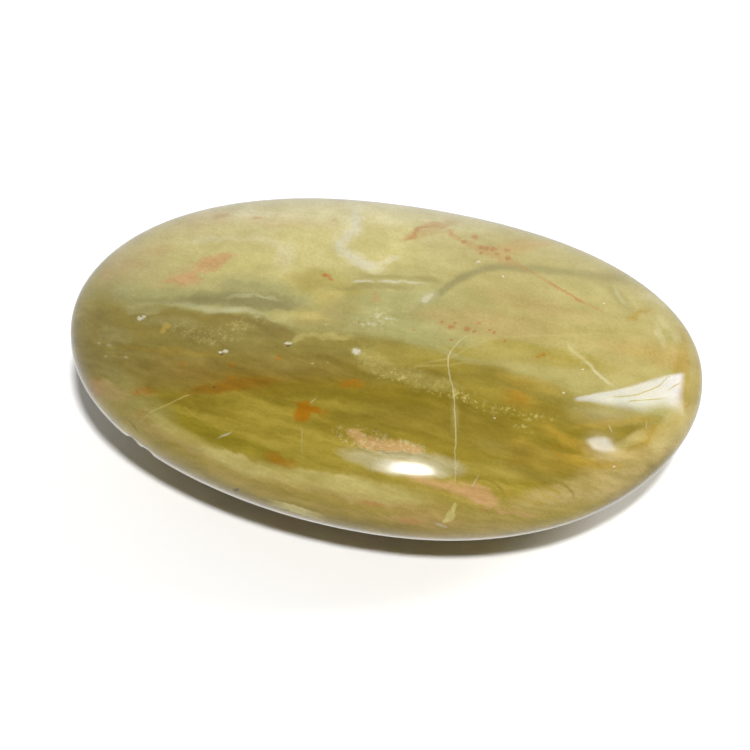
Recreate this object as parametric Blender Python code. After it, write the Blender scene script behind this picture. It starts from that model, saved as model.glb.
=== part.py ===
"""Polished green opal palm stone: one solid pebble, modelled in metres with +Z up.

The long axis lies along X and the short one in plan along Y. The origin is the centre of the
bounding box's underside, on the small flat that the stone rests on.
"""

import math

import bmesh
import bpy
from mathutils import Matrix, Vector

MM = 0.001

# Driving dimensions, in millimetres
LENGTH = 68.0
WIDTH = 44.0
HALF_THICKNESS = 12.3
REST_FLAT_DEPTH = 0.15

# Exponent of the side profile: 2 is an ellipse, and more is fuller at the rim
PROFILE_FULLNESS = 2.2

# How the plan outline departs from an ellipse: waves round the rim as (waves, cosine share, sine share)
PLAN_WAVES = (
    (2, 0.0, 0.0096),
    (3, -0.0138, 0.0155),
    (4, -0.0124, 0.0065),
)

# 5 subdivisions give 5120 faces, with edges of about 1.5 mm
SPHERE_SUBDIVISIONS = 5

STONE_COLOUR = (0.36, 0.31, 0.10, 1.0)
STONE_ROUGHNESS = 0.12


def clear_scene():
    for obj in list(bpy.data.objects):
        bpy.data.objects.remove(obj, do_unlink=True)


def plan_factor(angle):
    """How far the rim stands out at this angle in plan, as a share of the plain ellipse."""
    waves = (c * math.cos(n * angle) + s * math.sin(n * angle) for n, c, s in PLAN_WAVES)
    return 1.0 + sum(waves)


def full(value):
    """A sine or cosine of the latitude, made fuller by the profile's exponent."""
    return math.copysign(abs(value) ** (2.0 / PROFILE_FULLNESS), value)


def stone_point(direction):
    """The point of the stone's surface, in millimetres, for a direction from its middle."""
    angle = math.atan2(direction.y, direction.x)
    outward = full(math.hypot(direction.x, direction.y)) * plan_factor(angle)
    return Vector(
        (
            LENGTH / 2 * outward * math.cos(angle),
            WIDTH / 2 * outward * math.sin(angle),
            HALF_THICKNESS * full(direction.z),
        )
    )


def cut_rest_flat(mesh):
    """Grinds the small flat under the stone and closes it with one face."""
    cut = bmesh.ops.bisect_plane(
        mesh,
        geom=mesh.verts[:] + mesh.edges[:] + mesh.faces[:],
        plane_co=(0, 0, -HALF_THICKNESS + REST_FLAT_DEPTH),
        plane_no=(0, 0, -1),
        dist=0.01,
        clear_outer=True,
    )
    rim = [item for item in cut["geom_cut"] if isinstance(item, bmesh.types.BMEdge)]
    bmesh.ops.contextual_create(mesh, geom=rim)


def centre_on_base(mesh):
    """Moves the solid so that the middle of its bounding box's underside is the origin."""
    corners = [Vector(map(pick, zip(*(v.co for v in mesh.verts)))) for pick in (min, max)]
    middle = (corners[0] + corners[1]) / 2
    bmesh.ops.translate(mesh, verts=mesh.verts[:], vec=(-middle.x, -middle.y, -corners[0].z))


def stone_material():
    material = bpy.data.materials.new("polished_green_opal")
    material.use_nodes = True
    shader = material.node_tree.nodes["Principled BSDF"]
    shader.inputs["Base Color"].default_value = STONE_COLOUR
    shader.inputs["Roughness"].default_value = STONE_ROUGHNESS
    shader.inputs["Metallic"].default_value = 0.0
    return material


def build_stone():
    mesh = bmesh.new()
    bmesh.ops.create_icosphere(mesh, subdivisions=SPHERE_SUBDIVISIONS, radius=1.0)
    for vertex in mesh.verts:
        vertex.co = stone_point(vertex.co.normalized())
    cut_rest_flat(mesh)
    centre_on_base(mesh)
    bmesh.ops.transform(mesh, matrix=Matrix.Scale(MM, 4), verts=mesh.verts[:])
    bmesh.ops.recalc_face_normals(mesh, faces=mesh.faces[:])

    data = bpy.data.meshes.new("green_opal_stone")
    mesh.to_mesh(data)
    mesh.free()
    data.shade_smooth()
    data.materials.append(stone_material())
    stone = bpy.data.objects.new("green_opal_stone", data)
    bpy.context.scene.collection.objects.link(stone)
    return stone


clear_scene()
build_stone()
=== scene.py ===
import math

import bmesh
import bpy
from mathutils import Color, Matrix, Vector, interpolate, noise


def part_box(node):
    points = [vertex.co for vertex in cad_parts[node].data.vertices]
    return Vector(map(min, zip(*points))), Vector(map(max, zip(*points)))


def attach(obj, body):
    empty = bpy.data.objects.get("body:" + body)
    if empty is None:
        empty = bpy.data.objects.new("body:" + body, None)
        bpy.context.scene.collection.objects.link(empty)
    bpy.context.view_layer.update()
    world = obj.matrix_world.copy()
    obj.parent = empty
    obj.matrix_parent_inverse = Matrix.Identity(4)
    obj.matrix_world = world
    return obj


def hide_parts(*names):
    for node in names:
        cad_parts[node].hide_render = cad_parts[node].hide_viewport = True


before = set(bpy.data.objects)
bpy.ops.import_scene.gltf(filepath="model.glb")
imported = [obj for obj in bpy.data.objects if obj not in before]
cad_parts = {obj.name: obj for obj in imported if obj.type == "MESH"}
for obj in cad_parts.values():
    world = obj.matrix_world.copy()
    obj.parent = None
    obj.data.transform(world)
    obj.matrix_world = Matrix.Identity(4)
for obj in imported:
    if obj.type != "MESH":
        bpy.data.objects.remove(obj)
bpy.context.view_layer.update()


# Pebble

pebble = {
    "length": 0.068,
    "width": 0.044,
    "halfThickness": 0.0123,
    "restFlatDepth": 0.00015,
    "fullness": 2.2,  # 2 is an ellipse, more is boxier
    "planWaves": [(2, 0.0, 0.0096), (3, -0.0138, 0.0155), (4, -0.0124, 0.0065)],  # waves, cosine, sine
    "subdivisions": 7,
    "onFlat": 0.00001,  # a point this near the resting flat counts as on it
    "swellHeight": 0.00003,  # hand polishing leaves the surface slightly uneven
    "swellSize": 0.009,
    # small notches across the left front edge, long in the direction they were struck
    "nicks": [
        {"centre": (-0.0226, -0.0140, 0.0073), "radius": 0.001, "depth": 0.00035},
        {"centre": (-0.0208, -0.0149, 0.0071), "radius": 0.001, "depth": 0.0002},
    ],
    "nickAlong": (0.2255, -0.7437, 0.6293),
    "nickStretch": 2.6,
    "nickSteepness": 1.6,  # 1 is a cone, more gives steeper sides and a flat bottom
}


def fuller(value):
    return math.copysign(abs(value) ** (2.0 / pebble["fullness"]), value)


def pebblePoint(direction):
    angle = math.atan2(direction.y, direction.x)
    outline = 1.0
    for waves, cosineShare, sineShare in pebble["planWaves"]:
        outline += cosineShare * math.cos(waves * angle) + sineShare * math.sin(waves * angle)
    reach = fuller(math.hypot(direction.x, direction.y)) * outline
    return Vector((
        pebble["length"] / 2 * reach * math.cos(angle),
        pebble["width"] / 2 * reach * math.sin(angle),
        pebble["halfThickness"] * fuller(direction.z),
    ))


def makePebble():
    stone = bmesh.new()
    bmesh.ops.create_icosphere(stone, subdivisions=pebble["subdivisions"], radius=1.0)
    for vert in stone.verts:
        direction = vert.co.normalized()
        point = pebblePoint(direction)
        swell = noise.noise(point / pebble["swellSize"]) * pebble["swellHeight"]
        vert.co = point + direction * swell
    flatHeight = -pebble["halfThickness"] + pebble["restFlatDepth"]
    cut = bmesh.ops.bisect_plane(
        stone,
        geom=stone.verts[:] + stone.edges[:] + stone.faces[:],
        dist=pebble["onFlat"],
        plane_co=(0.0, 0.0, flatHeight),
        plane_no=(0.0, 0.0, -1.0),
        clear_outer=True,
    )
    rim = [item for item in cut["geom_cut"] if isinstance(item, bmesh.types.BMEdge)]
    bmesh.ops.contextual_create(stone, geom=rim)
    fitToSolid(stone, "green_opal_stone")
    bmesh.ops.recalc_face_normals(stone, faces=stone.faces)
    cutNicks(stone)
    mesh = bpy.data.meshes.new("opal_pebble")
    stone.to_mesh(mesh)
    stone.free()
    mesh.shade_smooth()
    return bpy.data.objects.new("opal_pebble", mesh)


def cutNicks(stone):
    stone.normal_update()
    lengthwise = Vector(pebble["nickAlong"])
    for nick in pebble["nicks"]:
        for vert in stone.verts:
            offset = vert.co - Vector(nick["centre"])
            shortened = offset - lengthwise * offset.dot(lengthwise) * (1.0 - 1.0 / pebble["nickStretch"])
            nearness = 1.0 - shortened.length / nick["radius"]
            if nearness > 0.0:
                vert.co -= vert.normal * nick["depth"] * min(1.0, pebble["nickSteepness"] * nearness)


def fitToSolid(stone, node):
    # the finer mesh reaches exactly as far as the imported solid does
    solidLow, solidHigh = (Vector(corner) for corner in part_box(node))
    points = [vert.co for vert in stone.verts]
    low = Vector([min(point[axis] for point in points) for axis in range(3)])
    high = Vector([max(point[axis] for point in points) for axis in range(3)])
    scale = [(solidHigh[axis] - solidLow[axis]) / (high[axis] - low[axis]) for axis in range(3)]
    bmesh.ops.translate(stone, verts=stone.verts, vec=-low)
    bmesh.ops.scale(stone, verts=stone.verts, vec=Vector(scale))
    bmesh.ops.translate(stone, verts=stone.verts, vec=solidLow)


stoneObject = makePebble()
bpy.context.scene.collection.objects.link(stoneObject)
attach(stoneObject, "root")
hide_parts("green_opal_stone")
print("pebble shaped:", len(stoneObject.data.polygons), "faces")


# Floor

floor = {
    "size": 1.2,
    "colour": (0.86, 0.86, 0.86, 1.0),
    "roughness": 0.9,
    "sheen": 0.1,
}


def makeFloor():
    sheet = bmesh.new()
    bmesh.ops.create_grid(sheet, x_segments=1, y_segments=1, size=floor["size"] / 2)
    mesh = bpy.data.meshes.new("floor")
    sheet.to_mesh(mesh)
    sheet.free()
    made = bpy.data.objects.new("floor", mesh)
    coat = bpy.data.materials.new("pale_floor")
    coat.use_nodes = True
    surface = coat.node_tree.nodes["Principled BSDF"]
    surface.inputs["Base Color"].default_value = floor["colour"]
    surface.inputs["Roughness"].default_value = floor["roughness"]
    surface.inputs["Specular IOR Level"].default_value = floor["sheen"]
    mesh.materials.append(coat)
    made.visible_glossy = False  # a white floor in the polish would hide the colours near the rim
    bpy.context.scene.collection.objects.link(made)


makeFloor()
print("floor laid")


# Camera

camera = {
    "turn": 16.8657,  # degrees round from the front, to the right
    "height": 39.0,  # degrees above the floor
    "distance": 0.36,
    "lens": 164.37,  # millimetres
    "sensor": 36.0,
    "photo": 750.0,  # the photograph's width and height in pixels
    "nearest": 0.01,
    "farthest": 10.0,
    "aim": (-0.000205, -0.000784, 0.011173),
}


def viewAxes():
    turn = math.radians(camera["turn"])
    height = math.radians(camera["height"])
    level = Vector((math.sin(turn), -math.cos(turn), 0.0)) * math.cos(height)
    back = level + Vector((0.0, 0.0, math.sin(height)))
    right = Vector((math.cos(turn), math.sin(turn), 0.0))
    return right, back.cross(right), back


def lensReach():
    # the lens's focal length in pixels of the photograph
    return camera["lens"] / camera["sensor"] * camera["photo"]


def cameraPlace():
    right, up, back = viewAxes()
    return Vector(camera["aim"]) + back * camera["distance"]


def makeCamera():
    lens = bpy.data.cameras.new("camera")
    lens.sensor_width = camera["sensor"]
    lens.lens = camera["lens"]
    lens.clip_start = camera["nearest"]
    lens.clip_end = camera["farthest"]
    made = bpy.data.objects.new("camera", lens)
    facing = Matrix(viewAxes()).transposed().to_4x4()
    made.matrix_world = Matrix.Translation(cameraPlace()) @ facing
    bpy.context.scene.collection.objects.link(made)
    bpy.context.scene.camera = made


makeCamera()
print("camera placed")


# Light

lights = {
    "key": {"compass": -66.5, "height": 54.8, "strength": 3.65, "angle": 5.0},
    "window": {"compass": 29.0, "height": 33.0, "distance": 0.7, "width": 0.22, "tall": 0.3, "power": 3.2},
    "sky": {"front": 0.08, "back": 0.74, "facing": 126.0, "tilt": 6.0, "from": -0.15, "to": 1.0},
    # what the polish shows in place of the floor, by how steeply down it looks
    "below": {"strength": 0.6, "from": 0.3, "to": 0.9},
    "cardSteps": (24, 8),  # faces across and up a card
    # Each card shows as a highlight between two lines, given in pixels of the photograph.
    # Its fades are the shares of its left, right, top and bottom that fade out.
    "cards": [
        {
            "name": "lamp_core", "colour": (1.0, 1.0, 1.0, 1.0), "strength": 70.0,
            "distance": 0.20, "fades": (0.5, 0.5, 0.6, 0.3),
            "upper": [(384, 460), (404, 458.5), (424, 462.5), (440, 467)],
            "lower": [(384, 472), (404, 475), (424, 476), (440, 477)],
        },
        {
            "name": "lamp_glow", "colour": (1.0, 1.0, 1.0, 1.0), "strength": 18.0,
            "distance": 0.20, "fades": (0.4, 0.4, 0.6, 0.25),
            "upper": [(366, 456), (390, 452), (420, 453), (448, 460)],
            "lower": [(366, 470), (390, 477), (420, 480), (456, 482)],
        },
        {
            "name": "side_core", "colour": (0.95, 1.0, 1.1, 1.0), "strength": 13.0,
            "distance": 0.035, "fades": (0.25, 0.3, 0.3, 0.35),
            "upper": [(582, 439), (596, 434), (611, 435)],
            "lower": [(591, 450), (604, 455), (623, 454)],
        },
        {
            "name": "side_glow", "colour": (1.0, 0.98, 0.92, 1.0), "strength": 5.0,
            "distance": 0.035, "fades": (0.45, 0.45, 0.45, 0.45),
            "upper": [(572, 434), (595, 424), (622, 428)],
            "lower": [(580, 462), (604, 468), (634, 466)],
        },
        {
            "name": "window_glass", "colour": (0.81, 0.93, 1.35, 1.0), "strength": 11.6,
            "distance": 0.035, "fades": (0.06, 0.08, 0.12, 0.45),
            "upper": [(573, 398), (591, 394), (615, 389), (632, 384.5), (648, 379), (670, 373), (687, 370.5)],
            "lower": [(573, 401), (590, 404), (608, 409), (625, 414), (642, 417), (658, 413), (684, 411)],
        },
        {
            "name": "window_foot", "colour": (0.84, 0.95, 1.15, 1.0), "strength": 3.5,
            "distance": 0.035, "fades": (0.5, 0.2, 0.3, 0.6),
            "upper": [(662, 400), (685, 394)],
            "lower": [(666, 413), (686, 422)],
        },
        {
            "name": "window_haze", "colour": (1.0, 1.0, 0.9, 1.0), "strength": 4.2,
            "distance": 0.035, "fades": (0.6, 0.5, 0.3, 0.7),
            "upper": [(556, 402), (575, 400), (600, 403), (630, 409), (660, 408)],
            "lower": [(552, 424), (575, 432), (600, 432), (630, 430), (664, 428)],
        },
    ],
}


def heading(compass, height):
    compass, height = math.radians(compass), math.radians(height)
    level = Vector((math.cos(compass), math.sin(compass), 0.0)) * math.cos(height)
    return level + Vector((0.0, 0.0, math.sin(height)))


def makeKey():
    settings = lights["key"]
    lamp = bpy.data.lights.new("key", "SUN")
    lamp.energy = settings["strength"]
    lamp.angle = math.radians(settings["angle"])
    made = bpy.data.objects.new("key", lamp)
    made.rotation_euler = heading(settings["compass"], settings["height"]).to_track_quat("Z", "Y").to_euler()
    made.visible_glossy = False  # the cards give the highlights
    bpy.context.scene.collection.objects.link(made)


def makeWindow():
    settings = lights["window"]
    lamp = bpy.data.lights.new("window", "AREA")
    lamp.shape = "RECTANGLE"
    lamp.size = settings["width"]
    lamp.size_y = settings["tall"]
    lamp.energy = settings["power"]
    made = bpy.data.objects.new("window", lamp)
    towards = heading(settings["compass"], settings["height"])
    made.location = towards * settings["distance"]
    made.rotation_euler = towards.to_track_quat("Z", "Y").to_euler()
    made.visible_glossy = False
    made.visible_camera = False
    bpy.context.scene.collection.objects.link(made)


def addNode(tree, kind, settings=None, **inputs):
    # an input goes by its name, or by its number as in0 or in1 where several share a name
    node = tree.nodes.new("ShaderNode" + kind)
    for name, value in (settings or {}).items():
        setattr(node, name, value)
    for name, value in inputs.items():
        feed(tree, node.inputs[int(name[2:]) if name.startswith("in") else name], value)
    return node


def feed(tree, socket, value):
    if isinstance(value, bpy.types.NodeSocket):
        tree.links.new(value, socket)
    else:
        socket.default_value = value


def makeSky():
    sky, below = lights["sky"], lights["below"]
    world = bpy.data.worlds.new("studio")
    world.use_nodes = True
    bpy.context.scene.world = world
    tree = world.node_tree
    background = tree.nodes["Background"]
    direction = addNode(tree, "TexCoord").outputs["Generated"]
    facing = heading(sky["facing"], sky["tilt"])
    towards = addNode(tree, "VectorMath", {"operation": "DOT_PRODUCT"}, in0=direction, in1=facing)
    above = addNode(
        tree, "MapRange", {"interpolation_type": "SMOOTHSTEP"},
        Value=towards.outputs["Value"], in1=sky["from"], in2=sky["to"], in3=sky["front"], in4=sky["back"],
    ).outputs["Result"]
    down = addNode(tree, "VectorMath", {"operation": "DOT_PRODUCT"}, in0=direction, in1=(0, 0, -1))
    under = addNode(
        tree, "MapRange", {"interpolation_type": "SMOOTHSTEP"},
        Value=down.outputs["Value"], in1=below["from"], in2=below["to"], in3=0.0, in4=below["strength"],
    ).outputs["Result"]
    strength = addNode(tree, "Math", {"operation": "ADD"}, in0=above, in1=under)
    tree.links.new(strength.outputs["Value"], background.inputs["Strength"])
    background.inputs["Color"].default_value = (1, 1, 1, 1)


def rayThrough(pixel):
    right, up, back = viewAxes()
    middle = camera["photo"] / 2
    ray = right * ((pixel[0] - middle) / lensReach()) + up * ((middle - pixel[1]) / lensReach()) - back
    return cameraPlace(), ray.normalized()


def bounce(pixel, distance):
    # where a ray from the camera through a pixel gets to, this far past the stone that mirrors it
    start, ray = rayThrough(pixel)
    hit, point, _, face = stoneObject.ray_cast(start, ray)
    if not hit:
        raise ValueError("no stone under pixel %s" % (pixel,))
    corners = [stoneObject.data.vertices[number] for number in stoneObject.data.polygons[face].vertices]
    shares = interpolate.poly_3d_calc([corner.co for corner in corners], point)
    normal = Vector((0, 0, 0))
    for corner, share in zip(corners, shares):
        normal += corner.normal * share
    normal.normalize()
    return point + ray.reflect(normal) * distance


def alongPath(path, share):
    place = share * (len(path) - 1)
    number = min(int(place), len(path) - 2)
    return Vector(path[number]).lerp(Vector(path[number + 1]), place - number)


def cardGlow(settings):
    glow = bpy.data.materials.new(settings["name"])
    glow.use_nodes = True
    glow.cycles.emission_sampling = "NONE"  # only mirror rays meet a card
    tree = glow.node_tree
    tree.nodes.clear()
    place = addNode(tree, "SeparateXYZ", Vector=addNode(tree, "UVMap").outputs["UV"])
    across, up = place.outputs["X"], place.outputs["Y"]
    left, right, top, bottom = settings["fades"]
    strength = settings["strength"]
    edges = [(across, 0.0, left), (across, 1.0, 1.0 - right), (up, 1.0, 1.0 - top), (up, 0.0, bottom)]
    for value, start, end in edges:
        fade = addNode(
            tree, "MapRange", {"interpolation_type": "SMOOTHSTEP"}, Value=value, in1=start, in2=end,
        ).outputs["Result"]
        strength = addNode(tree, "Math", {"operation": "MULTIPLY"}, in0=fade, in1=strength).outputs[0]
    emission = addNode(tree, "Emission", Color=settings["colour"], Strength=strength)
    clear = addNode(tree, "BsdfTransparent")  # cards add up where one is seen through another
    both = addNode(tree, "AddShader", in0=emission.outputs[0], in1=clear.outputs[0])
    output = addNode(tree, "OutputMaterial")
    tree.links.new(both.outputs[0], output.inputs["Surface"])
    return glow


def makeCard(settings):
    card = bmesh.new()
    card.loops.layers.uv.new("UVMap")
    steps = lights["cardSteps"]
    bmesh.ops.create_grid(card, x_segments=steps[0], y_segments=steps[1], size=1.0, calc_uvs=True)
    for vert in card.verts:
        upper = alongPath(settings["upper"], (vert.co.x + 1) / 2)
        lower = alongPath(settings["lower"], (vert.co.x + 1) / 2)
        vert.co = bounce(upper.lerp(lower, (1 - vert.co.y) / 2), settings["distance"])
    mesh = bpy.data.meshes.new(settings["name"])
    card.to_mesh(mesh)
    card.free()
    mesh.materials.append(cardGlow(settings))
    made = bpy.data.objects.new(settings["name"], mesh)
    made.visible_camera = False
    made.visible_diffuse = False
    made.visible_shadow = False
    bpy.context.scene.collection.objects.link(made)


makeKey()
makeWindow()
makeSky()
for cardSettings in lights["cards"]:
    makeCard(cardSettings)
bpy.context.scene.view_settings.view_transform = "Standard"
print("lit by", len(bpy.data.lights), "lamps, the sky and", len(lights["cards"]), "cards")


# Opal

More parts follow.
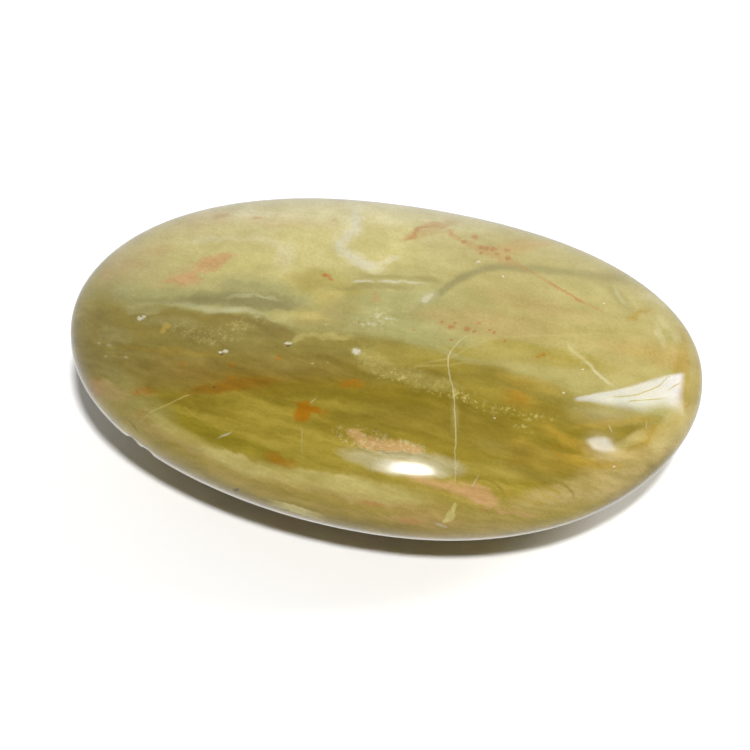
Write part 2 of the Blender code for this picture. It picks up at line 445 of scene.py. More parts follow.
opal = {
    # paints, in sRGB as a colour picker shows them
    "colours": {
        "paleLime": (178, 168, 116), "lime": (172, 161, 103), "dullLime": (162, 152, 97),
        "sage": (147, 142, 90), "slate": (124, 117, 74), "khaki": (152, 140, 84),
        "arcOlive": (134, 123, 69), "olive": (132, 119, 54), "shadeOlive": (122, 107, 42),
        "darkOlive": (118, 102, 28), "moss": (132, 115, 38), "yellowMoss": (148, 132, 52),
        "paleMoss": (176, 164, 102), "cream": (186, 178, 140), "milk": (184, 179, 156),
        "salmon": (174, 138, 90), "brightSalmon": (182, 146, 98), "pinkHaze": (156, 132, 84),
        "rust": (126, 90, 20), "orange": (156, 103, 24), "deepOrange": (146, 95, 10), "amber": (150, 124, 46),
        "brick": (152, 106, 60), "tan": (150, 132, 66), "yellow": (178, 167, 104),
        "stoneGrey": (138, 128, 82), "umber": (112, 97, 46), "yellowOlive": (145, 131, 58),
        "dustyPink": (170, 146, 98), "mist": (162, 158, 116), "warmYellow": (160, 138, 62),
        "terracotta": (158, 114, 62), "fanTan": (162, 136, 80), "drift": (160, 150, 90),
        "deepOlive": (116, 103, 10), "greige": (166, 147, 92), "darkSpeck": (60, 52, 34),
    },
    "mirror": 774.0,  # the far side's marks start this many pixels across and run back
    # the line where the pale stone gives way to the olive, in pixels of the photograph
    "seam": [
        (40, 296), (105, 299), (155, 304), (215, 311), (245, 314), (285, 329), (330, 332), (380, 338),
        (430, 347), (455, 356), (500, 364), (545, 382), (580, 394), (620, 406), (690, 428), (740, 440),
    ],
    # colour by distance below that line
    "layers": [
        (-110, "paleLime"), (-55, "lime"), (-24, "dullLime"), (-7, "sage"), (7, "olive"), (28, "shadeOlive"),
        (58, "darkOlive"), (92, "moss"), (125, "yellowMoss"), (165, "tan"), (210, "amber"),
    ],
    "layerSpan": (-150.0, 250.0),  # the distances that the colours are spread over
    # how outlines wander, in pixels: size of the noise, how far it moves a point, detail
    "wander": {
        "soft": (45.0, 9.0, 1.0), "ragged": (14.0, 6.0, 3.0), "fine": (7.0, 1.2, 1.0),
        "ripple": (30.0, 3.0, 1.0), "grit": (3.0, 1.6, 1.0),
    },
    "wanderRoughness": 0.5,
    # marks that wander as "grain" are ragged, and broken up into grains
    "grain": {"size": 4.6, "detail": 3.0, "roughness": 0.75, "from": 0.5, "to": 0.62},
    # A mark has a kind, a paint, a strength and its way to wander. Then come, for a patch, its softness and
    # its ovals: across, down, half length, half height, slope in degrees. For spots, the softness and
    # across, down, size. For a vein, width, softness, path and, where it changes, strength along the path.
    "marks": [
        # broad tones, greener round the far edge
        ("vein", "yellowOlive", 0.6, "soft", 17.0, 0.9, [
            (150, 228), (200, 210), (300, 198), (400, 205), (480, 220), (560, 243), (600, 260), (640, 286),
            (672, 314), (694, 350)], [0, .35, .25, .3, .6, .9, 1, .8, .8, 0]),
        ("patch", "khaki", 0.85, "soft", 0.5, [(605, 322, 165, 66, 16)]),
        ("patch", "dullLime", 0.8, "soft", 0.6, [(560, 250, 125, 40, 20)]),
        ("patch", "yellowOlive", 0.7, "soft", 0.8, [(86, 290, 18, 44, 14)]),
        ("patch", "stoneGrey", 0.4, "soft", 0.7, [(150, 362, 60, 20, 8), (220, 330, 60, 14, 6)]),
        ("patch", "rust", 0.35, "soft", 0.8, [(236, 372, 70, 14, 2), (300, 366, 50, 9, 4)]),
        ("patch", "olive", 0.6, "soft", 0.7, [(120, 330, 36, 18, 0)]),
        ("patch", "slate", 0.3, "soft", 0.7, [(290, 350, 100, 20, 6)]),
        ("patch", "shadeOlive", 0.45, "soft", 0.7, [(196, 336, 110, 22, 4), (310, 346, 76, 18, 6)]),
        ("patch", "sage", 0.7, "soft", 0.6, [(395, 300, 70, 26, 4)]),
        ("patch", "yellowOlive", 0.6, "soft", 0.6, [(326, 288, 34, 12, 4), (336, 306, 20, 14, -20)]),
        ("patch", "yellow", 0.4, "ragged", 0.7, [(322, 296, 16, 9, -30), (330, 308, 10, 5, 0)]),
        ("patch", "yellowOlive", 0.8, "soft", 0.6, [
            (540, 358, 58, 8, 10), (530, 350, 40, 6, 8), (480, 352, 30, 5, 10)]),
        ("patch", "yellowOlive", 0.55, "soft", 0.8, [(392, 356, 26, 6, 8), (420, 352, 16, 5, 10)]),
        ("patch", "darkOlive", 0.55, "soft", 0.6, [
            (420, 402, 84, 24, 7), (390, 372, 46, 8, 4), (480, 372, 44, 8, 12)]),
        ("patch", "shadeOlive", 0.5, "soft", 0.7, [(486, 432, 70, 17, 10), (400, 420, 60, 12, 10)]),
        ("patch", "olive", 0.35, "soft", 0.7, [(522, 366, 36, 9, 14), (568, 387, 22, 6, 14)]),
        ("patch", "yellowMoss", 0.4, "soft", 0.8, [
            (440, 365, 26, 7, 8), (490, 394, 30, 8, 16), (492, 476, 34, 9, 20)]),
        ("patch", "moss", 0.35, "soft", 0.6, [(560, 430, 60, 20, 12)]),
        ("patch", "greige", 0.9, "soft", 0.7, [
            (626, 462, 66, 14, -31), (678, 430, 24, 7, -56), (575, 492, 50, 10, -12)]),
        ("patch", "dullLime", 0.2, "soft", 0.7, [(560, 374, 62, 9, 17), (600, 390, 40, 7, 14)]),
        ("patch", "tan", 0.6, "soft", 0.6, [(690, 400, 10, 34, 20)]),
        ("patch", "stoneGrey", 0.2, "soft", 0.8, [(560, 470, 70, 9, 2), (540, 456, 44, 7, 10)]),
        # painted shade: the first band darkens the stone where the floor's reflection in the polish ends, the
        # second darkens the lower front rim
        ("vein", "deepOlive", 0.6, "soft", 17.0, 0.8, [
            (118, 384), (140, 398), (165, 412), (200, 427), (230, 441), (262, 456), (290, 464)]),
        ("vein", "deepOlive", 0.6, "soft", 16.0, 0.8, [
            (150, 446), (180, 468), (220, 487), (260, 500), (320, 517), (390, 528), (460, 532)]),

        # pale top
        ("patch", "cream", 0.45, "soft", 0.8, [(300, 212, 120, 9, 1), (410, 215, 60, 9, 8)]),
        ("patch", "dustyPink", 0.35, "ragged", 0.9, [
            (196, 219, 36, 7, -6), (278, 221, 34, 5, 4), (130, 262, 26, 14, -30)]),
        ("patch", "cream", 0.5, "ragged", 0.7, [
            (254, 213, 22, 2.5, 3), (212, 239, 18, 3, -6), (390, 222, 12, 5, 6)]),
        ("patch", "yellow", 0.45, "soft", 0.8, [
            (384, 240, 26, 18, 10), (310, 240, 26, 10, 0), (232, 262, 30, 8, -8)]),
        ("vein", "cream", 0.4, "ragged", 6.0, 0.9, [
            (222, 240), (238, 239), (261, 238), (276, 244), (287, 255), (292, 266)]),
        ("patch", "cream", 0.8, "ragged", 0.8, [
            (354, 217, 7, 13, 0), (352, 233, 11, 5, -42), (341, 245, 6, 8, -20), (352, 257, 17, 5.5, 30),
            (366, 265, 14, 5, 14), (386, 262, 12, 2.6, -16)]),
        ("patch", "cream", 0.4, "ragged", 0.9, [(285, 256, 8, 11, 20)]),
        ("patch", "milk", 0.6, "fine", 0.9, [
            (356, 221, 3, 9, -8), (348, 236, 9, 2.6, -42), (340, 247, 3, 5, -10), (352, 257, 13, 2.4, 32),
            (364, 264, 9, 3, 14)]),

        # grey green cloud at the left
        ("patch", "sage", 0.8, "ragged", 0.6, [
            (200, 300, 60, 8, 2), (262, 291, 36, 12, 10), (148, 306, 16, 6, 0), (290, 306, 30, 14, 14)]),
        ("patch", "slate", 0.95, "ragged", 0.8, [(252, 301, 40, 7, 5), (210, 300, 26, 4.5, 0)]),
        ("patch", "slate", 0.4, "ragged", 0.8, [
            (180, 301, 40, 3, 2), (276, 298, 14, 5, 20), (250, 287, 26, 4, 4)]),
        ("vein", "mist", 0.8, "ripple", 5.5, 0.8, [
            (162, 306), (185, 305), (205, 309), (228, 310), (248, 310), (262, 315), (280, 323)],
            [0, .5, .9, 1, 1, .6, 0]),
        ("patch", "mist", 0.5, "ragged", 0.8, [
            (240, 296, 12, 2, -6), (268, 297, 10, 1.5, 6), (143, 309, 14, 4, 0)]),
        ("patch", "umber", 0.6, "ragged", 0.5, [
            (270, 327, 24, 6, 24), (282, 334, 16, 4, 10), (232, 317, 22, 3.5, 6)]),
        ("patch", "shadeOlive", 0.5, "ragged", 0.5, [
            (176, 321, 46, 8, 0), (116, 318, 22, 8, 0), (152, 309, 22, 4, 0)]),
        ("patch", "mist", 0.2, "ragged", 0.9, [(115, 336, 12, 7, 0), (170, 322, 22, 4, 4)]),
        ("patch", "lime", 0.7, "ragged", 0.6, [
            (298, 320, 24, 6, 12), (318, 318, 18, 7, 4), (334, 298, 12, 6, -16)]),
        ("patch", "warmYellow", 0.35, "ragged", 0.9, [(312, 315, 14, 6, 0), (334, 301, 12, 7, 0)]),
        ("patch", "yellow", 0.35, "ragged", 0.8, [
            (326, 336, 20, 3, 4), (298, 338, 8, 2, -24), (340, 338, 7, 2.5, 10)]),
        ("patch", "arcOlive", 0.75, "ragged", 0.7, [(312, 325, 18, 5, 4), (358, 326, 24, 3, 4)]),
        ("patch", "stoneGrey", 0.6, "ragged", 0.8, [(340, 312, 14, 8, 10)]),

        # centre: white streak, cluster, sage and the arc
        ("patch", "sage", 0.75, "ragged", 0.6, [
            (400, 324, 44, 10, 6), (420, 336, 40, 7, 8), (386, 300, 44, 6, 0)]),
        ("vein", "arcOlive", 0.6, "ragged", 5.0, 0.8, [
            (318, 286), (345, 287), (370, 286), (400, 288), (424, 286)]),
        ("vein", "arcOlive", 0.5, "soft", 5.0, 0.8, [
            (350, 276), (372, 276), (400, 278), (430, 280), (446, 288)]),
        ("vein", "milk", 0.75, "fine", 2.2, 0.8, [
            (351, 282), (358, 281), (368, 281), (376, 282), (384, 281), (395, 282), (403, 281), (412, 283),
            (428, 283)], [0, .9, .7, .2, .8, 1, .5, .9, 0]),
        ("patch", "milk", 0.9, "grain", 0.8, [
            (376, 320, 13, 3.5, -6), (386, 318, 9, 3, -10), (366, 322, 6, 2.5, 0)]),
        ("patch", "mist", 0.6, "grain", 0.9, [
            (380, 318, 22, 7, -8), (382, 309, 7, 2, 0), (404, 308, 14, 4, -10)]),
        ("vein", "slate", 0.8, "ripple", 8.0, 0.8, [
            (398, 317), (414, 309), (430, 299), (442, 291), (454, 282), (466, 276), (480, 270), (496, 267),
            (523, 268), (546, 270), (569, 273), (592, 276), (615, 279), (640, 281)],
            [0, .3, .6, .9, 1, 1, .9, .85, .8, .7, .65, .6, .6, 0]),
        ("vein", "arcOlive", 0.6, "ripple", 14.0, 0.9, [(575, 274), (600, 277), (622, 279), (645, 278)]),
        ("vein", "arcOlive", 0.6, "ripple", 9.0, 0.9, [
            (604, 280), (612, 288), (621, 300), (629, 310), (634, 318)]),
        ("vein", "amber", 0.7, "ragged", 6.0, 0.9, [
            (626, 322), (634, 318), (642, 311), (656, 309)], [0, 1, .9, 0]),
        ("vein", "mist", 0.6, "ragged", 4.0, 0.8, [(612, 284), (617, 292), (621, 300), (628, 307)]),
        ("patch", "cream", 0.3, "ragged", 0.9, [
            (664, 322, 7, 3, 50), (676, 336, 6, 3, 60), (654, 300, 14, 3, 20), (668, 306, 10, 2, 30),
            (660, 336, 10, 2, 70)]),
        ("patch", "milk", 0.8, "fine", 0.5, [(426, 299, 4.5, 3.2, -30), (430, 296, 3, 2, -30)]),
        ("patch", "mist", 0.5, "ragged", 0.8, [(428, 298, 8, 5, -30)]),

        # orange brown arc and the pink haze under it
        ("vein", "terracotta", 0.7, "ragged", 5.0, 0.9, [
            (396, 241), (405, 238), (411, 237), (417, 231), (426, 226), (437, 224), (444, 225), (452, 223),
            (470, 221)], [0, .4, 1, .9, 1, .9, .7, .4, 0]),
        ("patch", "terracotta", 0.3, "ragged", 0.9, [(422, 233, 14, 3, -16), (434, 230.5, 6, 1.2, -6)]),
        ("vein", "terracotta", 0.35, "ragged", 5.0, 0.9, [
            (440, 226), (451, 234), (464, 242), (474, 247), (490, 254), (508, 262), (526, 270)]),
        ("patch", "terracotta", 0.6, "grain", 0.8, [
            (494, 249, 18, 4, 6), (494, 256, 18, 4, 14), (474, 237, 5, 3, 0), (506, 258, 6, 3, 20),
            (452, 233, 8, 3, 40), (420, 231, 14, 3, -16)]),
        ("patch", "fanTan", 0.7, "ragged", 0.8, [
            (516, 247, 18, 6, -8), (534, 244, 14, 3.5, -6), (505, 250, 14, 5, 0)]),
        ("patch", "pinkHaze", 0.35, "ragged", 0.9, [
            (462, 318, 34, 8, 6), (510, 326, 34, 9, 4), (540, 306, 40, 6, 14)]),
        ("patch", "terracotta", 0.4, "grain", 0.9, [(462, 317, 30, 7, 6)]),
        ("spots", "brick", 0.75, "grit", 0.6, [
            (451, 327, 2.6), (467, 329, 2.6), (474, 331.5, 1.4), (490, 330, 1.5), (494, 332.5, 1.4),
            (506, 341, 1.4), (451, 340, 1.4), (442, 322, 1.6), (455, 323, 1.6), (479, 323, 1.7),
            (414, 330, 1.3), (464, 242, 2.2), (475, 237, 2.6), (481, 247.5, 2.8), (486, 248.5, 2.8),
            (493, 249, 2.8), (507, 250, 2.2), (508, 258, 2.6), (481, 253, 1.8), (497, 254, 2)]),
        ("vein", "terracotta", 0.9, "grit", 2.4, 0.8, [
            (512, 261), (526, 269), (536, 275), (545, 280), (555, 286), (564, 291), (571, 295), (580, 301),
            (587, 304), (598, 309), (608, 315)], [0, .5, .3, .6, .8, 1, .9, 1, .4, .5, 0]),
        ("patch", "terracotta", 0.8, "fine", 0.6, [(326, 275.5, 4, 1.6, 10), (330, 278, 4, 1.4, 40)]),
        ("spots", "orange", 0.8, "grit", 0.6, [
            (325, 275, 1.9), (543, 355, 1.9), (538, 357, 2), (359, 322, 1.1)]),
        ("patch", "salmon", 0.9, "ragged", 0.85, [
            (186, 279, 10, 5, -8), (174, 281, 8, 1.8, -4), (213, 262, 11, 5.5, -16), (225, 256, 8, 3, -10),
            (200, 269, 8, 1.6, -20)]),
        ("patch", "terracotta", 0.45, "grain", 0.9, [(186, 279, 12, 5, -8), (212, 263, 13, 5, -20)]),
        ("patch", "salmon", 0.25, "ragged", 0.9, [
            (161, 249, 9, 3, -10), (129, 266, 9, 3, -20), (106, 274, 6, 3, 0), (186, 272, 20, 5, -24)]),
        ("patch", "terracotta", 0.35, "ragged", 0.9, [
            (223, 216, 7, 1.3, -4), (258, 218, 5, 1, 0), (334, 219, 2, 1, 0), (376, 297, 4, 3, 0)]),

        # pale lines that cross the right half
        ("vein", "lime", 0.35, "ripple", 2.2, 0.9, [
            (415, 366), (432, 362), (448, 357), (464, 350), (480, 343), (502, 338), (519, 337), (543, 336),
            (576, 335), (596, 334), (640, 340)], [0, .7, .9, .7, .6, .6, .5, .7, .7, .4, 0]),
        ("vein", "lime", 0.25, "ripple", 2.4, 0.9, [
            (396, 373), (419, 367), (442, 365), (462, 363), (500, 364)]),
        ("vein", "dullLime", 0.25, "ripple", 9.0, 0.8, [
            (462, 355), (500, 361), (522, 368), (543, 377), (561, 386), (584, 392)], [0, .7, .9, 1, .8, 0]),
        ("vein", "lime", 0.4, "ripple", 9.0, 0.8, [
            (566, 342), (574, 352), (586, 362), (594, 370)], [0, 1, .8, 0]),
        ("vein", "cream", 0.7, "fine", 2.8, 0.8, [
            (567, 341), (570, 348), (579, 356), (588, 363), (596, 372), (605, 380), (618, 389)],
            [0, .4, .4, .9, 1, 1, 0]),
        ("patch", "fanTan", 0.5, "ragged", 0.9, [(650, 352, 34, 7, 10), (668, 360, 20, 6, 12)]),
        ("patch", "amber", 0.5, "grain", 0.9, [(655, 356, 24, 5, 12), (560, 360, 20, 5, 10)]),

        # granular yellow drift
        ("patch", "drift", 0.35, "ragged", 0.8, [
            (372, 360, 16, 6, 24), (400, 374, 26, 5, 10), (430, 382, 24, 5, 10)]),
        ("patch", "drift", 0.45, "grain", 0.9, [
            (372, 360, 16, 8, 24), (398, 374, 28, 7, 16), (436, 386, 34, 6, 14), (476, 402, 24, 5, 22),
            (510, 410, 20, 4, 4)]),
        ("patch", "yellow", 0.5, "grain", 0.9, [
            (538, 417, 12, 4, 6), (524, 428, 7, 2.4, 24), (512, 409, 9, 3, 12), (462, 396, 12, 4, 20),
            (392, 376, 12, 4, 10)]),
        ("patch", "lime", 0.4, "grain", 0.9, [
            (240, 326, 24, 6, -14), (190, 332, 16, 6, 10), (212, 338, 20, 4, 0)]),
        ("patch", "warmYellow", 0.8, "fine", 0.7, [(167, 326, 3.4, 2.4, 0), (163, 330, 2, 3, 20)]),

        # olive middle and the orange marks
        ("patch", "rust", 0.9, "ragged", 0.8, [
            (228, 387, 34, 4.5, -8), (206, 390, 12, 4, 0), (256, 382, 14, 4, 0)]),
        ("patch", "yellowMoss", 0.5, "ragged", 0.8, [
            (250, 408, 46, 9, 8), (226, 402, 16, 6, 0), (330, 404, 34, 5, 8)]),
        ("patch", "darkOlive", 0.5, "ragged", 0.8, [(200, 405, 40, 7, 14), (320, 392, 50, 6, 6)]),
        ("patch", "yellowMoss", 0.6, "ragged", 0.8, [
            (300, 430, 50, 4, 16), (320, 452, 40, 6, 14), (190, 412, 26, 3, 12)]),
        ("patch", "deepOrange", 0.9, "ragged", 0.6, [
            (305, 407, 6, 5.5, -20), (302, 415, 5.5, 6, 0), (311, 410, 7, 3, 0)]),
        ("patch", "deepOrange", 0.5, "ragged", 0.8, [
            (352, 383, 9, 4, 0), (142, 391, 9, 4, 0), (231, 378, 3, 2, 0), (182, 364, 2, 3, 0),
            (279, 357, 3, 1.4, 0), (518, 397, 8, 5, 30), (142, 415, 6, 3, 20), (279, 460, 12, 4, 24),
            (98, 388, 8, 7, 40), (232, 364, 4, 1.4, 0)]),
        ("patch", "mist", 0.25, "soft", 0.8, [(136, 400, 34, 12, 36)]),
        ("patch", "dustyPink", 0.45, "ragged", 0.9, [
            (110, 391, 16, 5, 20), (156, 432, 18, 4, 28), (186, 446, 20, 3, 22)]),
        ("patch", "deepOrange", 0.7, "grain", 0.8, [
            (518, 401, 13, 7, 20), (350, 383, 10, 3.5, 0), (280, 461, 12, 4, 24), (560, 452, 14, 5, 20),
            (142, 391, 10, 4, 0), (310, 409, 16, 6, 0)]),
        ("patch", "amber", 0.4, "ragged", 0.9, [(164, 350, 36, 2, 4), (204, 354, 14, 1.6, 3)]),
        ("vein", "amber", 0.85, "ragged", 9.0, 0.8, [
            (536, 422), (552, 431), (566, 440), (582, 447), (612, 457)]),
        ("patch", "amber", 0.8, "ragged", 0.8, [(656, 433, 24, 6, -26), (592, 462, 24, 4, 8)]),
        ("patch", "amber", 0.5, "ragged", 0.9, [
            (532, 384, 24, 5, 14), (548, 462, 34, 8, 10), (524, 448, 16, 6, 14)]),
        ("patch", "paleLime", 0.45, "soft", 0.8, [(672, 428, 20, 8, -50), (632, 442, 14, 6, -20)]),
        ("patch", "amber", 0.5, "ragged", 0.9, [
            (682, 366, 5, 30, 4), (520, 400, 14, 7, 20), (620, 422, 30, 3, -6)]),

        # salmon bands along the front
        ("patch", "brightSalmon", 0.8, "ragged", 0.6, [
            (357, 436, 9, 4, 24), (372, 443, 15, 5.5, 10), (392, 446, 18, 5.5, 4), (412, 449, 9, 4, 20)]),
        ("patch", "cream", 0.5, "grain", 0.8, [(366, 440, 24, 8, 12), (404, 446, 18, 5, 10)]),
        ("patch", "milk", 0.4, "ragged", 0.9, [
            (370, 460, 22, 6, 14), (442, 466, 16, 7, 10), (400, 455, 30, 3, 6)]),
        ("vein", "arcOlive", 0.5, "ragged", 1.6, 0.8, [
            (372, 442), (376, 449), (386, 452), (402, 453), (420, 456)]),
        ("vein", "brightSalmon", 0.9, "ragged", 9.0, 0.7, [
            (404, 474), (420, 479), (436, 484), (452, 488), (468, 493), (484, 498), (500, 502)],
            [0, .8, .9, 1, 1, 1, 0]),
        ("patch", "brightSalmon", 0.9, "ragged", 0.6, [(478, 494, 18, 7, 24), (488, 501, 10, 5, 30)]),
        ("vein", "salmon", 0.6, "ragged", 4.0, 0.8, [
            (488, 508), (500, 511), (514, 513), (530, 515), (545, 514)]),
        ("patch", "salmon", 0.35, "ragged", 0.9, [
            (338, 492, 46, 3, 12), (390, 506, 40, 4, 10), (420, 520, 30, 4, 4)]),
        ("patch", "terracotta", 0.7, "fine", 0.8, [
            (484, 510.5, 3.5, 1.2, 10), (410, 521, 9, 2, 10), (372, 504, 9, 2, 10)]),
        ("patch", "warmYellow", 0.5, "ragged", 0.8, [
            (507, 491, 12, 4, 40), (537, 503, 6, 4, 0), (520, 496, 14, 2, 30), (548, 496, 10, 2, 30)]),
        ("vein", "shadeOlive", 0.6, "ripple", 3.0, 0.9, [
            (466, 476), (478, 478), (490, 482), (500, 489), (506, 498)]),
        ("vein", "shadeOlive", 0.55, "ripple", 3.0, 0.9, [
            (536, 478), (552, 480), (565, 486), (572, 495), (572, 504)]),
        ("vein", "yellowMoss", 0.7, "ripple", 3.4, 0.9, [(530, 486), (548, 487), (558, 492), (563, 500)]),

        # pale green band along the front, with the floor's reflection in the polish painted into it
        ("vein", "paleMoss", 0.8, "ripple", 13.0, 0.8, [
            (138, 406), (160, 423), (190, 441), (215, 455), (240, 465), (270, 472), (300, 478), (340, 484),
            (380, 492), (420, 502)], [0, .7, .7, .7, .8, 1, 1, 1, .9, 0]),
        ("patch", "paleMoss", 0.7, "ragged", 0.7, [
            (356, 488, 54, 8, 9), (230, 457, 24, 4, 20), (330, 478, 34, 4, 8)]),
        ("vein", "tan", 0.5, "ragged", 6.0, 0.8, [
            (160, 444), (200, 466), (250, 486), (300, 500), (350, 510), (400, 518)]),
        ("vein", "moss", 0.5, "ragged", 8.0, 0.8, [
            (230, 474), (280, 492), (330, 502), (380, 510), (430, 514)]),
        ("vein", "yellow", 0.95, "fine", 6.4, 0.15, [(266, 501.5), (285, 506), (305, 512), (327, 519.5)]),

        # cracks and healed lines, painted shade under the notch and a painted shadow line along the lower
        # right edge
        ("vein", "lime", 0.3, "ripple", 7.0, 0.9, [(454, 398), (455, 408), (455.5, 420), (456, 434)]),
        ("vein", "cream", 0.6, "fine", 1.3, 0.7, [
            (477, 332), (468, 336), (461, 340), (455, 346), (451, 351), (448.5, 358), (448, 366),
            (449.5, 376), (452.5, 386), (454, 396), (454.5, 408), (455, 420), (456, 436), (455, 452),
            (455.5, 466), (455, 478), (455, 486)],
            [0, .6, .8, .9, 1, 1, 1, .8, .9, .9, 1, 1, .9, .6, .8, .8, 0]),
        ("patch", "yellow", 0.9, "fine", 0.25, [
            (454, 508, 2, 6, 14), (450, 516, 4.4, 6, 34), (446, 521, 4, 1.8, -10)]),
        ("patch", "milk", 0.5, "fine", 0.7, [(441, 525, 5, 1.4, 20)]),
        ("vein", "cream", 0.5, "fine", 1.4, 0.7, [(479, 474), (477, 478), (474, 483), (471, 488)]),
        ("vein", "yellow", 0.45, "fine", 1.4, 0.7, [
            (196, 393), (186, 396), (179, 399), (166, 405), (152, 412), (142, 420), (134, 429)]),
        # painted shade on the lower face of the notch in the left front edge
        ("patch", "olive", 0.8, "fine", 0.5, [(137, 443, 12, 3, 35)]),
        ("vein", "umber", 0.8, "fine", 1.2, 0.6, [(124, 417), (130, 422), (135, 428), (140, 436)]),
        ("vein", "milk", 0.6, "fine", 1.5, 0.7, [(215, 439), (222, 436), (228, 434), (233, 431)]),
        ("vein", "cream", 0.45, "fine", 1.2, 0.7, [(309, 404), (312, 402), (314, 400), (317, 397)]),
        ("vein", "cream", 0.2, "fine", 1.4, 0.8, [(301, 424), (302, 434), (302, 446), (303, 460)]),
        ("vein", "cream", 0.5, "fine", 1.2, 0.7, [(608, 424), (610, 427), (611, 430), (613, 433)]),
        ("vein", "cream", 0.4, "fine", 1.2, 0.7, [(647, 421), (646.6, 424), (646, 427), (645, 430)]),
        ("vein", "brick", 0.6, "fine", 1.4, 0.6, [(690, 400), (689, 403), (687, 406), (684, 410)]),
        # painted shadow: a dark line along the lower right edge, where the stone meets its shadow on the
        # floor
        ("vein", "umber", 0.4, "fine", 2.4, 0.7, [
            (540, 529), (590, 514), (628, 494), (662, 471), (680, 452)]),
        ("spots", "mist", 0.6, "grit", 0.7, [
            (256, 317, 1.8), (252, 313, 1.4), (109, 345, 1.8), (99, 343, 1.2), (134, 295, 1.4),
            (326, 324.5, 1.4), (350, 325, 1), (459.5, 269.4, .9), (312.5, 363.5, .9), (327.5, 362.4, .9),
            (106, 356.5, 1.2), (126, 357, 1.4), (576, 408, .9)]),
        ("spots", "darkSpeck", 0.8, "grit", 0.5, [
            (112, 421, 1.4), (214, 387, 1.1), (236, 490, 2), (221, 354, 1.4), (288, 345.5, 1.6),
            (122, 434, 1.4)]),
    ],
    "spotSqueeze": (0.8, 1.25),  # makes spots about half as wide again as they are tall
    # small white chips: across, down, size
    "chips": [
        (356.5, 351.5, 3.4), (220.5, 352.4, 1.7), (225.5, 351.5, 2.1), (140, 318.5, 2.2), (144, 316.5, 1.6),
        (287, 343.5, 1.7), (290, 343.2, 1.4), (604, 303.5, 1), (478.5, 262, 1.4), (503, 276.4, .9),
        (583, 369.5, 1), (564, 392.4, 1.2), (494.5, 418, 1), (614, 467, 1.1), (671, 378, 1),
    ],
    "chipStrength": 0.85,
    "chipSoftness": 0.5,
    # hairlines that break the polish, drawn as the veins are
    "hairWidth": 1.3,
    "hairSoftness": 0.6,
    "hairlines": [
        [(606, 397), (622, 396.5), (637, 394.5), (650, 390), (660, 385), (666, 379), (672, 374)],
        [(620, 405), (632, 401), (645, 400), (660, 399), (674, 398)],
        [(664, 391), (670, 389), (676, 385), (683, 383)],
    ],
    # Tints that run through the stone, lengthened by stretch along a slope. 0.5 leaves a colour as it is,
    # and paleShare is how much of the strength is left in the pale stone above the seam.
    "tints": [
        {
            "size": 9.0, "stretch": 7.0, "slope": 15.0, "detail": 4.0, "point": "soft",
            "strength": 1.0, "paleShare": 0.3, "dark": (0.395, 0.39, 0.32), "light": (0.54, 0.54, 0.565),
        },
        {
            "size": 4.0, "stretch": 9.0, "slope": 17.0, "detail": 2.0, "point": "ragged",
            "strength": 0.7, "paleShare": 0.15, "dark": (0.45, 0.445, 0.42), "light": (0.54, 0.54, 0.56),
        },
        {
            "size": 17.0, "stretch": 1.6, "slope": 8.0, "detail": 3.0, "point": "plain",
            "strength": 1.0, "paleShare": 1.0, "dark": (0.452, 0.447, 0.41), "light": (0.545, 0.545, 0.565),
        },
        {
            "size": 2.2, "stretch": 1.3, "slope": 16.0, "detail": 1.0, "point": "plain",
            "strength": 1.0, "paleShare": 1.0, "dark": (0.47, 0.47, 0.45), "light": (0.525, 0.525, 0.54),
        },
    ],
    "tintRoughness": 0.55,
    "tintDepth": 0.25,  # how fast a tint changes with depth, where 1 is as fast as across its slope
    "tintStops": (0.3, 0.7),  # where the noise is darkest and lightest
    "tintSeam": (-20.0, 50.0),  # the strength grows between these distances below the seam
    "polish": {
        "index": 1.42,  # of refraction
        "specular": 0.42,
        "roughness": (0.04, 0.08),  # where the polish is best and worst
        "broken": 0.45,  # roughness added in chips and hairlines
        "wear": {"size": 20.0, "detail": 4.0, "roughness": 0.6, "from": 0.35, "to": 0.7},
        "ripple": {"size": 11.0, "detail": 3.0, "roughness": 0.55, "height": 0.000003},
    },
}


def mathNode(tree, operation, first, second=0.0):
    return addNode(tree, "Math", {"operation": operation}, in0=first, in1=second).outputs["Value"]


def dotNode(tree, point, direction):
    node = addNode(tree, "VectorMath", {"operation": "DOT_PRODUCT"}, in0=point, in1=direction)
    return node.outputs["Value"]


def paint(name):
    return (*Color([channel / 255 for channel in opal["colours"][name]]).from_srgb_to_scene_linear(), 1.0)


def slantPlane(tree):
    # The marks are noted on the slanting plane that the photograph looks at squarely. This lays the stone's
    # own coordinates on that plane, one unit a pixel. The first result keeps the depth, the second is flat.
    right, up, back = viewAxes()
    reach = lensReach()
    middle = camera["photo"] / 2
    pixel = camera["distance"] / reach
    slope = Matrix((right, -up, -back)).transposed().to_euler()
    solid = addNode(
        tree, "Mapping", {"vector_type": "TEXTURE"}, Vector=addNode(tree, "TexCoord").outputs["Object"],
        Location=camera["aim"], Rotation=slope, Scale=(pixel, pixel, pixel),
    ).outputs["Vector"]
    depth = addNode(tree, "SeparateXYZ", Vector=solid).outputs["Z"]
    farther = mathNode(tree, "ADD", mathNode(tree, "DIVIDE", depth, reach), 1.0)
    nearness = mathNode(tree, "DIVIDE", 1.0, farther)
    spread = addNode(tree, "VectorMath", {"operation": "SCALE"}, in0=solid, Scale=nearness).outputs["Vector"]
    flat = addNode(
        tree, "VectorMath", {"operation": "MULTIPLY_ADD"}, in0=spread, in1=(1, 1, 0), in2=(middle, middle, 1),
    ).outputs["Vector"]
    return solid, flat


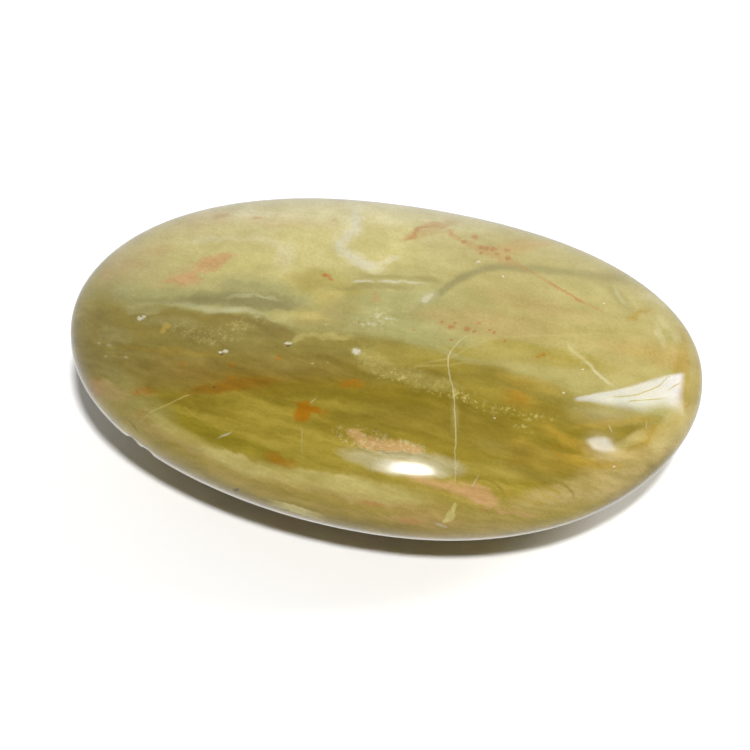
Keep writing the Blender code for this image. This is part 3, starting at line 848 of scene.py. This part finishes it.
def farSide(tree):
    # 1 from a little way behind the outline that the photograph shows, counting the stone as an ellipsoid
    middle = Vector((0, 0, pebble["halfThickness"] - pebble["restFlatDepth"]))
    sizes = (pebble["length"] / 2, pebble["width"] / 2, pebble["halfThickness"])
    towards = cameraPlace() - middle
    slope = Vector([towards[axis] / sizes[axis] ** 2 for axis in range(3)])
    height = dotNode(tree, addNode(tree, "TexCoord").outputs["Object"], slope)
    return mathNode(tree, "LESS_THAN", height, middle.dot(slope) - 1.0)


def mirrored(tree, point, far):
    # the small marks don't run through the stone, they lie mirrored on its far side
    sign = addNode(tree, "VectorMath", {"operation": "MULTIPLY_ADD"}, in0=far, in1=(-2, 0, 0), in2=(1, 1, 1))
    shift = addNode(tree, "VectorMath", {"operation": "MULTIPLY"}, in0=far, in1=(opal["mirror"], 0, 0))
    return addNode(
        tree, "VectorMath", {"operation": "MULTIPLY_ADD"},
        in0=point, in1=sign.outputs["Vector"], in2=shift.outputs["Vector"],
    ).outputs["Vector"]


def noiseNode(tree, solid, size, detail, roughness):
    return addNode(tree, "TexNoise", Vector=solid, Scale=1.0 / size, Detail=detail, Roughness=roughness)


def noiseFrom(tree, solid, settings):
    return noiseNode(tree, solid, settings["size"], settings["detail"], settings["roughness"]).outputs["Fac"]


def shifted(tree, solid, flat, size, reach, detail):
    wander = noiseNode(tree, solid, size, detail, opal["wanderRoughness"]).outputs["Color"]
    centred = addNode(
        tree, "VectorMath", {"operation": "SUBTRACT"}, in0=wander, in1=(0.5, 0.5, 0.5),
    ).outputs["Vector"]
    return addNode(
        tree, "VectorMath", {"operation": "MULTIPLY_ADD"},
        in0=centred, in1=(2 * reach, 2 * reach, 0), in2=flat,
    ).outputs["Vector"]


def ramp(tree, value, start, end, first=0.0, last=1.0):
    # a smooth step stops at its ends by itself and needs no clamp
    return addNode(
        tree, "MapRange", {"interpolation_type": "SMOOTHSTEP", "clamp": False},
        Value=value, in1=start, in2=end, in3=first, in4=last,
    ).outputs["Result"]


def along(tree, point, start, slope, size):
    # How far a point lies along a sloping line, in sizes. The point's third part is 1, so one product does.
    # Only these plain vector nodes are used in the marks, because turning one kind of vector into another
    # makes Cycles hold every mark at once, and that overflows the shader.
    turned = Vector((math.cos(slope), math.sin(slope))) / size
    return dotNode(tree, point, (turned.x, turned.y, -turned.dot(Vector(start))))


def nearest(tree, reaches):
    joined = reaches[0]
    for reach in reaches[1:]:
        joined = mathNode(tree, "MINIMUM", joined, reach)
    return joined


def softEdge(tree, value, middle, softness, strength):
    return ramp(tree, value, middle * (1 - softness), middle * (1 + softness), strength, 0.0)


def patchMask(tree, point, strength, softness, places):
    reaches = []
    for across, down, halfLength, halfHeight, slope in places:
        slope = math.radians(slope)
        lengthwise = along(tree, point, (across, down), slope, halfLength)
        upright = along(tree, point, (across, down), slope + math.pi / 2, halfHeight)
        square = mathNode(tree, "MULTIPLY", upright, upright)
        reaches.append(addNode(
            tree, "Math", {"operation": "MULTIPLY_ADD"}, in0=lengthwise, in1=lengthwise, in2=square,
        ).outputs["Value"])
    return ramp(tree, nearest(tree, reaches), (1 - softness) ** 2, (1 + softness) ** 2, strength, 0.0)


def spotMask(tree, point, strength, softness, places):
    sideways, upright = opal["spotSqueeze"]
    squeezed = addNode(
        tree, "VectorMath", {"operation": "MULTIPLY"}, in0=point, in1=(sideways, upright, 1),
    ).outputs["Vector"]
    reaches = []
    for across, down, size in places:
        distance = addNode(
            tree, "VectorMath", {"operation": "DISTANCE"},
            in0=squeezed, in1=(across * sideways, down * upright, 1),
        ).outputs["Value"]
        reaches.append(mathNode(tree, "MULTIPLY", distance, 1.0 / size))
    return softEdge(tree, nearest(tree, reaches), 1.0, softness, strength)


def curveNode(tree, value, points, handle="AUTO_CLAMPED"):
    node = addNode(tree, "FloatCurve", Value=value)
    curve = node.mapping.curves[0]
    for number, place in enumerate(points):
        if number < 2:  # a new curve has two points already
            curve.points[number].location = place
        else:
            curve.points.new(*place)
    for point in curve.points:
        point.handle_type = handle
    node.mapping.update()
    return node.outputs["Value"]


def veinMask(tree, point, strength, width, softness, path, strengths=None):
    start, end = Vector(path[0]), Vector(path[-1])
    length = (end - start).length
    slope = math.atan2(end.y - start.y, end.x - start.x)
    direction = (end - start) / length
    sideways = Vector((-direction.y, direction.x))
    lengthwise = along(tree, point, start, slope, length)
    upright = along(tree, point, start, slope + math.pi / 2, length)
    # in lengths of the straight line from end to end, which lies at half the curve's height
    steps = [(Vector(place) - start) / length for place in path]
    middle = curveNode(tree, lengthwise, [(step.dot(direction), 0.5 + step.dot(sideways)) for step in steps])
    offset = mathNode(tree, "SUBTRACT", mathNode(tree, "ADD", upright, 0.5), middle)
    distance = mathNode(tree, "MULTIPLY", mathNode(tree, "ABSOLUTE", offset), length)
    line = softEdge(tree, distance, width / 2, softness, strength)
    strengths = strengths or [0.0] + [1.0] * (len(path) - 2) + [0.0]
    shares = [(step.dot(direction), share) for step, share in zip(steps, strengths)]
    return mathNode(tree, "MULTIPLY", line, curveNode(tree, lengthwise, shares, "VECTOR"))


def markMask(tree, mark, point):
    # each mark is a small group of its own, so that the material stays readable
    kind, paintName, strength, _, *shape = mark
    group = bpy.data.node_groups.new(paintName + " " + kind, "ShaderNodeTree")
    group.interface.new_socket("Point", in_out="INPUT", socket_type="NodeSocketVector")
    group.interface.new_socket("Mask", in_out="OUTPUT", socket_type="NodeSocketFloat")
    inside = group.nodes.new("NodeGroupInput").outputs["Point"]
    build = {"vein": veinMask, "patch": patchMask, "spots": spotMask}[kind]
    mask = build(group, inside, strength, *shape)
    group.links.new(mask, group.nodes.new("NodeGroupOutput").inputs["Mask"])
    return addNode(tree, "Group", {"node_tree": group}, Point=point).outputs["Mask"]


def cover(tree, below, colour, mask):
    return addNode(tree, "Mix", {"data_type": "RGBA"}, in0=mask, in6=below, in7=colour).outputs[2]


def layerColour(tree, flat):
    size = camera["photo"]
    across = along(tree, flat, (0, 0), 0.0, size)
    down = along(tree, flat, (0, 0), math.pi / 2, size)
    seam = curveNode(tree, across, [(place[0] / size, place[1] / size) for place in opal["seam"]])
    below = mathNode(tree, "MULTIPLY", mathNode(tree, "SUBTRACT", down, seam), size)
    start, end = opal["layerSpan"]
    share = addNode(tree, "MapRange", {"clamp": False}, Value=below, in1=start, in2=end).outputs["Result"]
    node = addNode(tree, "ValToRGB", Fac=share)
    stops = node.color_ramp.elements
    node.color_ramp.interpolation = "EASE"
    while len(stops) < len(opal["layers"]):
        stops.new(1.0)
    for stop, (distance, name) in zip(stops, opal["layers"]):
        stop.position = (distance - start) / (end - start)
        stop.color = paint(name)
    return node.outputs["Color"], below


def tinted(tree, colour, solid, point, below, settings):
    # noise drawn out along a slope, laid over the colour
    slope = math.radians(settings["slope"])
    place = addNode(
        tree, "CombineXYZ",
        in0=along(tree, point, (0, 0), slope, settings["size"] * settings["stretch"]),
        in1=along(tree, point, (0, 0), slope + math.pi / 2, settings["size"]),
        in2=dotNode(tree, solid, (0, 0, opal["tintDepth"] / settings["size"])),
    ).outputs["Vector"]
    cloud = noiseNode(tree, place, 1.0, settings["detail"], opal["tintRoughness"]).outputs["Fac"]
    tints = addNode(tree, "ValToRGB", Fac=cloud)
    first, last = tints.color_ramp.elements
    first.position, last.position = opal["tintStops"]
    first.color = (*settings["dark"], 1.0)
    last.color = (*settings["light"], 1.0)
    full = settings["strength"]
    strength = ramp(tree, below, *opal["tintSeam"], full * settings["paleShare"], full)
    return addNode(
        tree, "Mix", {"data_type": "RGBA", "blend_type": "OVERLAY"},
        in0=strength, in6=colour, in7=tints.outputs["Color"],
    ).outputs[2]


def paintStone(tree, solid, points, markPoints):
    grain = opal["grain"]
    grains = ramp(tree, noiseFrom(tree, solid, grain), grain["from"], grain["to"])
    colour, below = layerColour(tree, points["soft"])
    for mark in opal["marks"]:
        mask = markMask(tree, mark, markPoints[mark[3]])
        if mark[3] == "grain":
            mask = mathNode(tree, "MULTIPLY", mask, grains)
        colour = cover(tree, colour, paint(mark[1]), mask)
    for settings in opal["tints"]:
        colour = tinted(tree, colour, solid, points[settings["point"]], below, settings)
    return colour


def opalMaterial():
    material = bpy.data.materials.new("green_opal_polish")
    material.use_nodes = True
    tree = material.node_tree
    shader = tree.nodes["Principled BSDF"]
    solid, flat = slantPlane(tree)
    points = {"plain": flat}
    for name, wander in opal["wander"].items():
        points[name] = shifted(tree, solid, flat, *wander)
    points["grain"] = points["ragged"]
    far = farSide(tree)
    markPoints = {name: mirrored(tree, point, far) for name, point in points.items() if name != "soft"}
    markPoints["soft"] = points["soft"]  # broad tones do run through the stone
    colour = paintStone(tree, solid, points, markPoints)
    chipMark = ("spots", "milk", opal["chipStrength"], "grit", opal["chipSoftness"], opal["chips"])
    chips = markMask(tree, chipMark, markPoints["grit"])
    tree.links.new(cover(tree, colour, paint("milk"), chips), shader.inputs["Base Color"])

    polish = opal["polish"]
    broken = chips
    for path in opal["hairlines"]:
        hairMark = ("vein", "hairline", 1.0, "plain", opal["hairWidth"], opal["hairSoftness"], path)
        broken = mathNode(tree, "MAXIMUM", broken, markMask(tree, hairMark, markPoints["plain"]))
    wear = polish["wear"]
    smooth = ramp(tree, noiseFrom(tree, solid, wear), wear["from"], wear["to"], *polish["roughness"])
    roughness = mathNode(tree, "ADD", smooth, mathNode(tree, "MULTIPLY", broken, polish["broken"]))
    tree.links.new(roughness, shader.inputs["Roughness"])
    ripple = polish["ripple"]
    relief = addNode(
        tree, "Bump", Strength=1.0, Distance=ripple["height"], Height=noiseFrom(tree, solid, ripple),
    ).outputs["Normal"]
    tree.links.new(relief, shader.inputs["Normal"])
    shader.inputs["IOR"].default_value = polish["index"]
    shader.inputs["Specular IOR Level"].default_value = polish["specular"]
    return material


stoneObject.data.materials.append(opalMaterial())
print("opal painted:", len(opal["marks"]), "marks")
